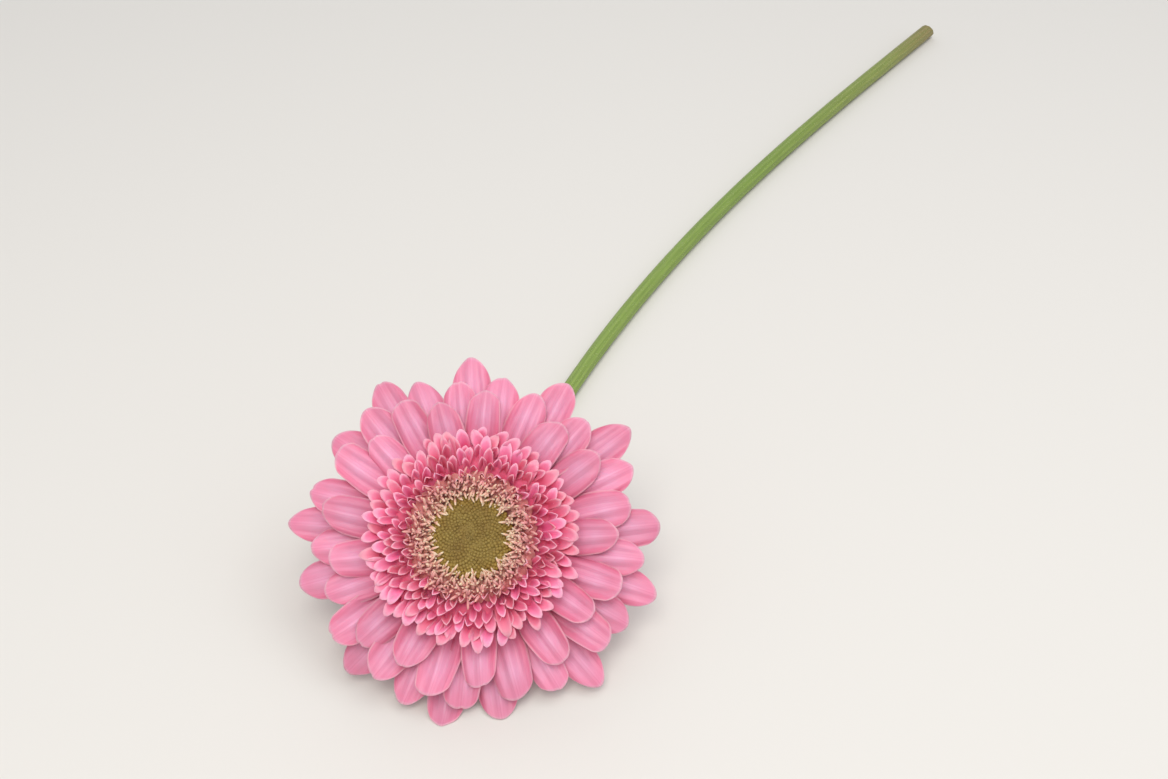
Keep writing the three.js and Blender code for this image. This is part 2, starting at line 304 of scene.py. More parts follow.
def rayPetalSkin():
    # Satin petal skin over thin wet tissue: light passes through it a little, and its cells give a soft
    # lavender sheen. Fine veins run lengthwise, about half a millimetre apart.
    material, tree, skin, tone, under, grooveShade = startMaterial("satinRayPetal", {
        "Roughness": 0.43, "IOR": 1.4, "Specular IOR Level": 0.5, "Subsurface Weight": 0.25,
        "Subsurface Radius": (1.0, 0.42, 0.5), "Subsurface Scale": 1.4 * mm, "Sheen Weight": 0.12,
        "Sheen Roughness": 0.4, "Sheen Tint": hexColour("#efd2ee")}, "tone", "side", "grooveShade")
    uv, across, up = readPlace(tree)
    offMiddle = distanceFromMiddle(tree, across)
    # the petal's colour from foot to tip: deep rose at the foot, partly its own and partly painted shade near
    # the crown; pale lavender-pink further out, partly its own and partly a painted sheen where light falls
    along = addNode(tree, "ShaderNodeValToRGB", inputs={0: up})
    setRamp(along, [(0.0, "#c8b683"), (0.12, "#bd425d"), (0.34, "#cf5877"), (0.56, "#e88aab"),
                    (0.8, "#f1abcb"), (1.0, "#f0a5c3")])
    # rose towards the rim and the tip, and a thin pale line at the very edge
    margin = addNode(tree, "ShaderNodeMapRange", eased, {
        "Value": offMiddle, "From Min": 0.16, "From Max": 0.46, "To Max": 0.68})
    tipMargin = addNode(tree, "ShaderNodeMapRange", eased, {
        "Value": up, "From Min": 0.8, "From Max": 0.97, "To Max": 0.4})
    rim = addNode(tree, "ShaderNodeMapRange", eased, {
        "Value": offMiddle, "From Min": 0.44, "From Max": 0.5, "To Max": 0.55})
    tip = addNode(tree, "ShaderNodeMapRange", eased, {
        "Value": up, "From Min": 0.975, "From Max": 1.0, "To Max": 0.55})
    border, edge = [
        addNode(tree, "ShaderNodeMath", {"operation": "MAXIMUM"}, {0: side, 1: end})
        for side, end in ((margin, tipMargin), (rim, tip))
    ]
    # veins: noise drawn out along the petal
    stretch = addNode(tree, "ShaderNodeMapping", inputs={"Vector": uv, "Scale": (24, 1.3, 1)})
    veins = addNode(tree, "ShaderNodeTexNoise", inputs={"Vector": stretch, "Scale": 1.0, "Detail": 4.0})
    veinShare = addNode(tree, "ShaderNodeMapRange", inputs={
        "Value": veins, "From Min": 0.48, "From Max": 0.7, "To Max": 0.3})
    # slow blotches of paler lavender, about 9 mm across
    place = addNode(tree, "ShaderNodeTexCoord")
    blotch = addNode(tree, "ShaderNodeTexNoise", inputs={"Vector": place.outputs["Object"], "Scale": 110.0})
    blotchShare = addNode(tree, "ShaderNodeMapRange", inputs={
        "Value": blotch, "From Min": 0.4, "From Max": 0.7, "To Max": 0.25})
    # painted shade: the folds' grooves are darkened to a deeper rose; the underside is paler and greener
    grooveShadeShare, backShare = [
        addNode(tree, "ShaderNodeMath", {"operation": "MULTIPLY"}, {0: carried, 1: most})
        for carried, most in ((grooveShade, 0.16), (under, 0.45))
    ]
    colour = along
    for share, over in [(border, "#e0587d"), (edge, "#f6cbd3"), (veinShare, "#cc5f80"),
                        (grooveShadeShare, "#cf5a7e"), (blotchShare, "#eda8c6"), (backShare, "#e5b9b4")]:
        colour = addNode(tree, "ShaderNodeMix", blend, {"Factor": share, "A": colour, "B": hexColour(over)})
    toned = toneBy(tree, tone, 0, 1, 0.84, 1.01, colour)
    relief = addNode(tree, "ShaderNodeBump", inputs={"Height": veins, "Strength": 0.5, "Distance": 0.12 * mm})
    setInputs(tree, skin, {"Base Color": toned, "Normal": relief})
    return material


def transPetalSkin():
    # the same tissue in the short florets: deeper in colour, pale at the very tip
    material, tree, skin, tone, way = startMaterial("satinTransPetal", {
        "Roughness": 0.48, "IOR": 1.4, "Specular IOR Level": 0.35, "Subsurface Weight": 0.3,
        "Subsurface Radius": (1.0, 0.35, 0.4), "Subsurface Scale": 1.0 * mm, "Sheen Weight": 0.15,
        "Sheen Tint": hexColour("#f4d4e4")}, "tone", "way")
    across, up = readPlace(tree)[1:]
    offMiddle = distanceFromMiddle(tree, across)
    along = addNode(tree, "ShaderNodeValToRGB", inputs={0: up})
    setRamp(along, [(0.0, "#b98474"), (0.22, "#d8667a"), (0.4, "#e66082"), (0.7, "#e96d8e"),
                    (0.9, "#ee87a2"), (1.0, "#f5adbc")])
    rim = addNode(tree, "ShaderNodeMapRange", eased, {
        "Value": offMiddle, "From Min": 0.26, "From Max": 0.5, "To Max": 0.42})
    pale = addNode(tree, "ShaderNodeMix", blend, {"Factor": rim, "A": along, "B": hexColour("#f3a2b5")})
    # the tips of the innermost row fade to cream
    inmost = addNode(tree, "ShaderNodeMapRange", eased, {
        "Value": way, "From Max": 0.3, "To Min": 0.6, "To Max": 0.0})
    nearTip = addNode(tree, "ShaderNodeMapRange", inputs={"Value": up, "From Min": 0.6})
    creamShare = addNode(tree, "ShaderNodeMath", {"operation": "MULTIPLY"}, {0: inmost, 1: nearTip})
    cream = addNode(tree, "ShaderNodeMix", blend, {
        "Factor": creamShare, "A": pale, "B": hexColour("#ecbfae")})
    toned = toneBy(tree, tone, 0, 1, 1.12, 0.93, cream)
    hue = addNode(tree, "ShaderNodeMapRange", inputs={"Value": tone, "To Min": 0.482, "To Max": 0.502})
    setInputs(tree, toned, {"Hue": hue})
    setInputs(tree, skin, {"Base Color": toned})
    return material


def discFloretSkin():
    # waxy tubes: pink below, cream at the open lips, cream-yellow styles
    material, tree, skin, tint, tone, way = startMaterial("waxyDiscFloret", {
        "Roughness": 0.5, "IOR": 1.42, "Specular IOR Level": 0.35, "Subsurface Weight": 0.3,
        "Subsurface Radius": (1.0, 0.6, 0.45), "Subsurface Scale": 0.8 * mm}, "tint", "tone", "way")
    ramp = addNode(tree, "ShaderNodeValToRGB", inputs={0: tint})
    setRamp(ramp, [(0.0, "#c27a6c"), (0.3, "#d08c7c"), (0.52, "#dca292"), (0.7, "#e8b8a4"),
                   (0.88, "#efcfb2"), (1.0, "#f2e0bc")])
    pinkShare = addNode(tree, "ShaderNodeMapRange", inputs={"Value": way, "From Min": 0.1, "To Max": 0.8})
    pinker = addNode(tree, "ShaderNodeMix", blend, {
        "Factor": pinkShare, "A": ramp, "B": hexColour("#e08f98")})
    toned = toneBy(tree, tone, 0, 1, 0.88, 1.06, pinker)
    setInputs(tree, skin, {"Base Color": toned})
    return material


def budSkin():
    # closed buds: matt olive green, yellower at their points and brown in between
    material, tree, skin, tint, tone, way = startMaterial("mattOliveBud", {
        "Roughness": 0.6, "IOR": 1.4, "Specular IOR Level": 0.3, "Subsurface Weight": 0.15,
        "Subsurface Radius": (0.6, 0.6, 0.2), "Subsurface Scale": 0.6 * mm}, "tint", "tone", "way")
    ramp = addNode(tree, "ShaderNodeValToRGB", inputs={0: tint})
    setRamp(ramp, [(0.0, "#8a6f34"), (0.4, "#967c40"), (0.75, "#9c8346"), (1.0, "#a58e50")])
    # patches about 7 mm across
    place = addNode(tree, "ShaderNodeTexCoord")
    patches = addNode(tree, "ShaderNodeTexNoise", inputs={"Vector": place.outputs["Object"], "Scale": 140.0})
    share = addNode(tree, "ShaderNodeMapRange", inputs={
        "Value": patches, "From Min": 0.42, "From Max": 0.62, "To Max": 0.45})
    brown = addNode(tree, "ShaderNodeMix", blend, {"Factor": share, "A": ramp, "B": hexColour("#866735")})
    # painted shade: darker and greyer in the sunken middle of the eye; yellower at its rim
    outward = addNode(tree, "ShaderNodeValToRGB", inputs={0: way})
    setRamp(outward, [(0.0, "#8c8c86"), (0.12, "#c6c6c0"), (0.7, "#d2d0c6"), (1.0, "#fff4cc")])
    shade = dict(blend, blend_type="MULTIPLY")
    shaded = addNode(tree, "ShaderNodeMix", shade, {"Factor": 0.6, "A": brown, "B": outward})
    toned = toneBy(tree, tone, 0, 1, 0.96, 1.12, shaded)
    setInputs(tree, skin, {"Base Color": toned})
    return material


def bractSkin():
    # leathery green bracts: paler margins, a dark point, and down that scatters light
    material, tree, skin, tone = startMaterial("downyBract", {
        "Roughness": 0.62, "IOR": 1.42, "Specular IOR Level": 0.3, "Subsurface Weight": 0.12,
        "Subsurface Radius": (0.4, 0.7, 0.2), "Subsurface Scale": 0.8 * mm, "Sheen Weight": 0.25,
        "Sheen Tint": hexColour("#e4ecd0")}, "tone")
    uv, across, up = readPlace(tree)
    offMiddle = distanceFromMiddle(tree, across)
    along = addNode(tree, "ShaderNodeValToRGB", inputs={0: up})
    setRamp(along, [(0.0, "#8c9c58"), (0.5, "#718a42"), (0.85, "#5e7538"), (1.0, "#6d4a3a")])
    rim = addNode(tree, "ShaderNodeMapRange", eased, {
        "Value": offMiddle, "From Min": 0.25, "From Max": 0.5, "To Max": 0.6})
    pale = addNode(tree, "ShaderNodeMix", blend, {"Factor": rim, "A": along, "B": hexColour("#a9b878")})
    # streaks about 0.4 mm wide
    stretch = addNode(tree, "ShaderNodeMapping", inputs={"Vector": uv, "Scale": (14, 1.5, 1)})
    streaks = addNode(tree, "ShaderNodeTexNoise", inputs={"Vector": stretch, "Scale": 1.0})
    streaked = toneBy(tree, streaks, 0.3, 0.7, 0.82, 1.14, pale)
    toned = toneBy(tree, tone, 0, 1, 0.88, 1.1, streaked)
    relief = addNode(tree, "ShaderNodeBump", inputs={
        "Height": streaks, "Strength": 0.6, "Distance": 0.15 * mm})
    setInputs(tree, skin, {"Base Color": toned, "Normal": relief})
    return material


def stalkSkin(ribCount):
    # a green stalk's waxy skin: fine lengthwise streaks, paler ribs, a brownish tinge towards the cut
    material, tree, skin = startMaterial("ribbedStalkSkin", {
        "Roughness": 0.48, "IOR": 1.42, "Specular IOR Level": 0.4, "Subsurface Weight": 0.15,
        "Subsurface Radius": (0.5, 0.8, 0.2), "Subsurface Scale": 1.2 * mm})
    uv, across, up = readPlace(tree)
    along = addNode(tree, "ShaderNodeValToRGB", inputs={0: up})
    setRamp(along, [(0.0, "#93a85a"), (0.1, "#8aa052"), (0.6, "#809849"), (0.88, "#8a9450"),
                    (1.0, "#8f7f52")])
    ribTurn = addNode(tree, "ShaderNodeMath", {"operation": "MULTIPLY"}, {
        0: across, 1: ribCount * 2 * math.pi})
    ribs = addNode(tree, "ShaderNodeMath", {"operation": "COSINE"}, {0: ribTurn})
    ribShare = addNode(tree, "ShaderNodeMapRange", inputs={
        "Value": ribs, "From Min": -1.0, "To Min": 0.3, "To Max": 0.0})
    ribbed = addNode(tree, "ShaderNodeMix", blend, {
        "Factor": ribShare, "A": along, "B": hexColour("#5f7a34")})
    # streaks about 0.4 mm wide and 20 mm long
    stretch = addNode(tree, "ShaderNodeMapping", inputs={"Vector": uv, "Scale": (46, 24, 1)})
    streaks = addNode(tree, "ShaderNodeTexNoise", inputs={"Vector": stretch, "Scale": 1.0, "Detail": 4.0})
    streaked = toneBy(tree, streaks, 0.3, 0.7, 0.84, 1.14, ribbed)
    relief = addNode(tree, "ShaderNodeBump", inputs={
        "Height": streaks, "Strength": 0.5, "Distance": 0.12 * mm})
    setInputs(tree, skin, {"Base Color": streaked, "Normal": relief})
    return material


def cutPithSkin():
    # the fresh cut: a wet green rim round pale, spongy pith
    material, tree, skin, rim = startMaterial("wetCutPith", {
        "Roughness": 0.35, "IOR": 1.36, "Subsurface Weight": 0.3,
        "Subsurface Radius": (0.8, 1.0, 0.5), "Subsurface Scale": 1.0 * mm}, "rim")
    # the ramp's darkest start is painted shade, for the small hollow in the pith
    ramp = addNode(tree, "ShaderNodeValToRGB", inputs={0: rim})
    setRamp(ramp, [(0.0, "#8f9660"), (0.35, "#d5d9ac"), (0.7, "#c3cc8c"), (0.84, "#8ea24f"),
                   (1.0, "#6f8a3c")])
    # pith cells about half a millimetre across, coarser than real ones so that they show
    place = addNode(tree, "ShaderNodeTexCoord")
    cells = addNode(tree, "ShaderNodeTexVoronoi", inputs={"Vector": place.outputs["Object"], "Scale": 2200.0})
    toned = toneBy(tree, cells, 0, 1, 0.86, 1.12, ramp)
    relief = addNode(tree, "ShaderNodeBump", inputs={"Height": cells, "Strength": 0.5, "Distance": 0.1 * mm})
    setInputs(tree, skin, {"Base Color": toned, "Normal": relief})
    return material


rayPetal = rayPetalSkin()
transPetal = transPetalSkin()
discFloret = discFloretSkin()
oliveBud = budSkin()
downyBract = bractSkin()
# short white plant hairs, matt and dense
paleDown = startMaterial("paleDown", {"Base Color": hexColour("#dfe4c4"), "Roughness": 0.55, "IOR": 1.5})[0]
print("materials made")


# ray florets: fifty large petals, each in the place of its CAD node
ray = {
    "count": 50, "firstRay": -15, "headRadius": 60, "innerRadius": 44,
    "halfWidthOuter": 6.5, "halfWidthInner": 5.7, "upright": 2, "base": 5.5, "startAngle": 85, "gap": 0.3,
    "baseReach": 0.73,  # how far out the bend at its base carries a petal, as a share of the bend
    "fanOuter": -1, "fanInner": 16, "droopOuter": 8, "droopInner": 5,
    "footBand": 3.4, "footRim": 0.4, "thickness": 0.42, "rimThickness": 0.12,
    "rows": 48, "columns": 31, "lineSteps": 300,
    "tipRound": 0.17,  # share of the blade that the rounded tip takes up
    "tipSharpness": 2,  # 2 is round, less is pointed
    "foot": 0.17, "tipTaper": 0.27,  # shares of the width: what the foot has, and what the tip loses
    "footArch": -0.24, "arch": 0.1, "archScatter": 0.3,  # shares of the half width, upwards in the middle
    "notch": 0.55, "notchWidth": 0.16, "skew": 0.8, "sway": 1.4, "twist": 3, "curl": 2.0,
    "pleat": 0.62, "finePleat": 0.12, "frill": 0.85, "rimRoll": 0.65,
    "pleatCount": 1.3, "finePleatCount": 3.75,  # folds from the middle line to a rim
    "fanScatter": 0.6, "droopScatter": 2, "turnScatter": 1.6, "reachScatter": 0.025, "widthScatter": 0.07,
    "tipScatter": 0.4, "tableGap": 0.05, "tableSoftness": 1.0,
}


def rayLine(share, index):
    # the petal's middle line in its own plane: up from the receptacle, over the bracts and out
    upright = ray["upright"] + share
    fan = (mix(ray["fanOuter"], ray["fanInner"], share) + ray["fanScatter"] * scatter(index, 1)) * degree
    droop = mix(ray["droopOuter"], ray["droopInner"], share) + ray["droopScatter"] * scatter(index, 2)
    droop = droop * degree
    tipRadius = mix(ray["headRadius"], ray["innerRadius"], share)
    tipRadius = tipRadius * (1 + ray["reachScatter"] * scatter(index, 3))
    outerFoot = receptacleRadius - ray["footRim"]
    start = mix(outerFoot, outerFoot - ray["footBand"], share)
    blade = (tipRadius - start - ray["baseReach"] * ray["base"]) / math.cos(fan - droop / 2)
    run = np.linspace(0, upright + ray["base"] + blade, ray["lineSteps"])
    out = np.maximum(0, (run - upright - ray["base"]) / blade)
    level = smooth(run, upright, upright + ray["base"])
    angle = mix(ray["startAngle"] * degree, fan, level) - droop * out * out
    step = run[1] - run[0]
    middle = (angle[1:] + angle[:-1]) / 2
    radius = start + np.concatenate([[0], np.cumsum(np.cos(middle) * step)])
    height = receptacleHeight + ray["gap"] + np.concatenate([[0], np.cumsum(np.sin(middle) * step)])
    return run, out, angle, radius, height, blade


def restOnTable(points, clearance):
    # a petal that would reach into the table lies along it instead
    soft = ray["tableSoftness"]
    above = (points[..., 2] - clearance) / soft
    lifted = points.copy()
    lifted[..., 2] += soft * np.log1p(np.exp(-np.clip(above, -40, 40)))
    return lifted


def rayPetalMesh(index):
    share = index / (ray["count"] - 1)
    run, out, angle, radius, height, blade = rayLine(share, index)
    around = (ray["firstRay"] + index * goldenAngle + ray["turnScatter"] * scatter(index, 4)) * degree
    broadest = mix(ray["halfWidthOuter"], ray["halfWidthInner"], share)
    broadest = broadest * (1 + ray["widthScatter"] * scatter(index, 5))
    sway, twist = ray["sway"] * scatter(index, 7), ray["twist"] * scatter(index, 6) * degree

    v = leafColumns(ray["columns"])
    s = np.linspace(0, 1, ray["rows"])[:, None]
    notchPlace = 0.25 * scatter(index, 9)
    notch = ray["notch"] * max(0, scatter(index, 8)) * np.exp(-((v - notchPlace) / ray["notchWidth"]) ** 2)
    tipLength = ray["tipRound"] * blade * (1 + ray["tipScatter"] * scatter(index, 17))
    tipSharpness = ray["tipSharpness"] + ray["tipScatter"] * scatter(index, 18)
    fallBack = tipLength * (1 - np.sqrt(1 - 0.995 * np.abs(v) ** tipSharpness))
    at = s * (run[-1] - (fallBack + notch + ray["skew"] * scatter(index, 10) * v))
    far = np.interp(at, run, out)
    bend = np.interp(at, run, angle)
    r, h = np.interp(at, run, radius), np.interp(at, run, height)

    # the outline, the arch across, and the folds, which fade at the foot and the tip
    half = broadest * mix(ray["foot"], 1, smooth(far, -0.05, 0.62))
    half = half * (1 - ray["tipTaper"] * np.clip((far - 0.58) / 0.42, 0, 1) ** 2)
    bladeArch = ray["arch"] + ray["archScatter"] * scatter(index, 11)
    arch = mix(ray["footArch"], bladeArch, smooth(far, 0.05, 0.6))
    ridges = np.cos(2 * ray["pleatCount"] * math.pi * v + 1.3 * scatter(index, 12))
    folded = smooth(far, 0.06, 0.35) * (1 - 0.8 * smooth(far, 0.75, 1))
    pleat = ray["pleat"] * ridges * folded
    fineRidges = np.cos(2 * ray["finePleatCount"] * math.pi * v + 3 * scatter(index, 16))
    pleat = pleat + ray["finePleat"] * fineRidges * folded
    wave = np.sin(2 * math.pi * (1.3 * far + scatter(index, 13)) + v)
    frill = ray["frill"] * wave * v ** 2 * np.sign(v) * smooth(far, 0.1, 0.5)
    rimRoll = ray["rimRoll"] * np.clip((np.abs(v) - 0.7) / 0.3, 0, 1) ** 2 * smooth(far, 0.3, 0.7)
    curl = ray["curl"] * scatter(index, 14) * smooth(far, 0.62, 1) ** 2
    rise = -arch * half * v ** 2 + pleat + frill + rimRoll + curl

    outward, sideways = roundAxes(around)
    axis = np.array([0.0, 0.0, 1.0])
    up = -np.sin(bend)[..., None] * outward + np.cos(bend)[..., None] * axis
    lean = (twist * far)[..., None]
    across = np.cos(lean) * sideways + np.sin(lean) * up
    over = np.cos(lean) * up - np.sin(lean) * sideways
    points = r[..., None] * outward + h[..., None] * axis + (sway * far ** 2)[..., None] * sideways
    points = points + (v * half)[..., None] * across + rise[..., None] * over
    thinner = np.clip(np.abs(v) ** 4 + smooth(far, 0.9, 1), 0, 1)
    thickness = mix(ray["thickness"], ray["rimThickness"], thinner)
    points = restOnTable(toPart(points), ray["thickness"] / 2 + ray["tableGap"])
    verts, faces, uvs, side = sheetShell(points, thickness, v)
    # painted shade: how deep each point lies in a fold's groove, for the skin to darken there
    grooveShade = np.tile(((0.5 - 0.5 * ridges) * folded).ravel(), 2)
    return verts * mm, faces, uvs, {"side": side, "tone": 0.5 + 0.5 * scatter(index, 15), "grooveShade": grooveShade}


for index in range(ray["count"]):
    label = f"{index + 1:02d}"
    verts, faces, uvs, values = rayPetalMesh(index)
    petal = makePiece("rayPetal" + label, verts, faces, rayPetal, uvs, values)
    placePiece(petal, "ray_petal", "ray_floret_" + label)
print("ray florets made")


def startTree(name, sockets):
    # a Geometry Nodes tree with its inputs, and what they give
    tree = bpy.data.node_groups.new(name, "GeometryNodeTree")
    for label, kind, value in sockets:
        socket = tree.interface.new_socket(name=label, in_out="INPUT", socket_type="NodeSocket" + kind)
        if value is not None:
            socket.default_value = value
    tree.interface.new_socket(name="Geometry", in_out="OUTPUT", socket_type="NodeSocketGeometry")
    return tree, addNode(tree, "NodeGroupInput").outputs


def finishTree(tree, copies, material):
    # the copies become one mesh of the material
    real = addNode(tree, "GeometryNodeRealizeInstances", inputs={0: copies})
    skinned = addNode(tree, "GeometryNodeSetMaterial", inputs={"Geometry": real, "Material": material})
    addNode(tree, "NodeGroupOutput", inputs={0: skinned})
    return tree


def spiralTree():
    # one tree sets out every small floret and bud: points on a golden-angle spiral, with a copy of a shape
    # on each; lengths in the head's millimetres
    tree, given = startTree("floretSpiral", [
        ("Shapes", "Collection", None), ("Count", "Int", 40), ("Start", "Int", 0), ("Total", "Int", 40),
        ("Inner Radius", "Float", 10), ("Outer Radius", "Float", 20),
        ("Inner Height", "Float", 20), ("Outer Height", "Float", 20), ("Crown", "Float", 0),
        ("Inner Lean", "Float", 0), ("Outer Lean", "Float", 0), ("Lean Scatter", "Float", 0),
        ("Inner Size", "Float", 1), ("Outer Size", "Float", 1), ("Size Scatter", "Float", 0),
        ("Turn Scatter", "Float", 0), ("Radius Scatter", "Float", 0), ("Height Scatter", "Float", 0),
        ("Seed", "Int", 1), ("Material", "Material", None),
    ])
    times, plus = {"operation": "MULTIPLY"}, {"operation": "ADD"}
    timesPlus = {"operation": "MULTIPLY_ADD"}
    index = addNode(tree, "GeometryNodeInputIndex")
    number = addNode(tree, "ShaderNodeMath", plus, {0: index, 1: given["Start"]})
    share = addNode(tree, "ShaderNodeMath", {"operation": "DIVIDE"}, {0: number, 1: given["Total"]})
    chances = []
    for salt in range(8):
        seed = addNode(tree, "ShaderNodeMath", plus, {0: given["Seed"], 1: float(salt)})
        chances.append(addNode(tree, "FunctionNodeRandomValue", {"data_type": "FLOAT"}, {
            2: -1.0, 3: 1.0, "ID": number, "Seed": seed}))
    leanChance, tipChance, turnChance, sizeChance, toneChance = chances[:5]
    shapeChance, heightChance, radiusChance = chances[5:]

    # equal area for each floret: the square of the radius grows evenly
    innerSquare, outerSquare = [
        addNode(tree, "ShaderNodeMath", {"operation": "POWER"}, {0: given[label], 1: 2.0})
        for label in ("Inner Radius", "Outer Radius")
    ]
    square = addNode(tree, "ShaderNodeMapRange", inputs={
        "Value": share, "To Min": innerSquare, "To Max": outerSquare})
    radius = addNode(tree, "ShaderNodeMath", {"operation": "SQRT"}, {0: square})
    # the share of the way out, by radius
    way = addNode(tree, "ShaderNodeMapRange", inputs={
        "Value": radius, "From Min": given["Inner Radius"], "From Max": given["Outer Radius"]})
    angle = addNode(tree, "ShaderNodeMath", times, {0: number, 1: goldenAngle * degree})
    evenHeight, evenLean, evenSize = [
        addNode(tree, "ShaderNodeMapRange", inputs={
            "Value": way, "To Min": given["Inner " + label], "To Max": given["Outer " + label]})
        for label in ("Height", "Lean", "Size")
    ]

    back = addNode(tree, "ShaderNodeMath", {"operation": "SUBTRACT"}, {0: 1.0, 1: way})
    hump = addNode(tree, "ShaderNodeMath", times, {0: way, 1: back})
    domed = addNode(tree, "ShaderNodeMath", timesPlus, {0: hump, 1: given["Crown"], 2: evenHeight})
    height = addNode(tree, "ShaderNodeMath", timesPlus, {
        0: heightChance, 1: given["Height Scatter"], 2: domed})
    reach = addNode(tree, "ShaderNodeMath", timesPlus, {
        0: radiusChance, 1: given["Radius Scatter"], 2: radius})
    cosine = addNode(tree, "ShaderNodeMath", {"operation": "COSINE"}, {0: angle})
    sine = addNode(tree, "ShaderNodeMath", {"operation": "SINE"}, {0: angle})
    x = addNode(tree, "ShaderNodeMath", times, {0: reach, 1: cosine})
    y = addNode(tree, "ShaderNodeMath", times, {0: reach, 1: sine})
    place = addNode(tree, "ShaderNodeCombineXYZ", inputs={0: x, 1: y, 2: height})
    points = addNode(tree, "GeometryNodePoints", inputs={"Count": given["Count"], "Position": place})

    lean = addNode(tree, "ShaderNodeMath", timesPlus, {0: leanChance, 1: given["Lean Scatter"], 2: evenLean})
    tip = addNode(tree, "ShaderNodeMath", times, {0: tipChance, 1: given["Lean Scatter"]})
    spin = addNode(tree, "ShaderNodeMath", timesPlus, {0: turnChance, 1: given["Turn Scatter"], 2: angle})
    rotation = addNode(tree, "ShaderNodeCombineXYZ", inputs={0: tip, 1: lean, 2: spin})
    turned = addNode(tree, "FunctionNodeEulerToRotation", inputs={0: rotation})
    sizeShare = addNode(tree, "ShaderNodeMath", timesPlus, {0: sizeChance, 1: given["Size Scatter"], 2: 1.0})
    size = addNode(tree, "ShaderNodeMath", times, {0: evenSize, 1: sizeShare})

    shapes = addNode(tree, "GeometryNodeCollectionInfo", inputs={
        "Collection": given["Shapes"], "Separate Children": True, "Reset Children": True})
    choice = addNode(tree, "ShaderNodeMath", timesPlus, {0: shapeChance, 1: 500.0, 2: 500.0})
    copies = addNode(tree, "GeometryNodeInstanceOnPoints", inputs={
        "Points": points, "Instance": shapes, "Pick Instance": True, "Instance Index": choice,
        "Rotation": turned, "Scale": size})
    tone = addNode(tree, "ShaderNodeMath", timesPlus, {0: toneChance, 1: 0.5, 2: 0.5})
    forEach = {"data_type": "FLOAT", "domain": "INSTANCE"}
    for label, value in (("tone", tone), ("way", way)):
        copies = addNode(tree, "GeometryNodeStoreNamedAttribute", forEach, {
            "Geometry": copies, "Name": label, "Value": value})
    return finishTree(tree, copies, given["Material"])


def growPiece(name, tree, settings, matrix, surface=None):
    # runs the tree on a new object, keeps the result as a plain mesh and puts it in its place
    piece = bpy.data.objects.new(name, surface.data if surface else bpy.data.meshes.new(name))
    bpy.context.scene.collection.objects.link(piece)
    modifier = piece.modifiers.new("grow", "NODES")
    modifier.node_group = tree
    names = {item.name: item.identifier for item in tree.interface.items_tree if item.in_out == "INPUT"}
    for label, value in settings.items():
        modifier[names[label]] = value
    evaluated = piece.evaluated_get(bpy.context.evaluated_depsgraph_get())
    mesh = bpy.data.meshes.new_from_object(evaluated)
    piece.modifiers.clear()
    piece.data = mesh
    mesh.name = name
    mesh.transform(matrix)
    return piece


spiral = spiralTree()
spareSets = []


def variantSet(name, shapes):
    # the variants of one shape, kept in a collection for the spiral to pick from
    collection = bpy.data.collections.new(name)
    for shape in shapes:
        collection.objects.link(shape)
    spareSets.append(collection)
    return collection


# trans florets: three rows of short petals that make up the crown
strap = {
    "rows": 11, "columns": 7, "variants": 4, "thickness": 0.34, "rimThickness": 0.14,
    "crease": 0.16, "sway": 0.7, "twist": 0.35,
    "tipRound": 0.95, "tipScatter": 0.2,  # the rounded tip's length, as a share of the half width
    "widthScatter": 0.12, "cupScatter": 0.4, "hookScatter": 0.9,
}
transRows = {
    "Total": 246, "Inner Radius": 17.9, "Outer Radius": 33.3, "Inner Height": 29.6, "Outer Height": 27.5,
    "Crown": 3.6, "Inner Lean": 2 * degree, "Outer Lean": 31 * degree, "Lean Scatter": 11 * degree,
    "Inner Size": 0.88, "Outer Size": 1.04, "Size Scatter": 0.12, "Turn Scatter": 22 * degree,
    "Radius Scatter": 1.0, "Height Scatter": 1.2, "Material": transPetal,
}
transShapes = [
    {"name": "innerTransFlorets", "node": "trans_florets_inner",
     "style": {"length": 16, "width": 2.4, "flare": 1.9, "cup": 0.9, "hook": -0.4}},
    {"name": "middleTransFlorets", "node": "trans_florets_middle",
     "style": {"length": 17, "width": 2.8, "flare": 3.0, "cup": 0.75, "hook": 0.1}},
    {"name": "outerTransFlorets", "node": "trans_florets_outer",
     "style": {"length": 18, "width": 3.5, "flare": 4.4, "cup": 0.5, "hook": 0.8}},
]
# the ray florets' bases: their height at a radius and how fast it climbs; a strap that would reach below
# them keeps only this share of its depth there
seat = {"height": 15.2, "radius": 14, "slope": 0.25, "depthKept": 0.12}


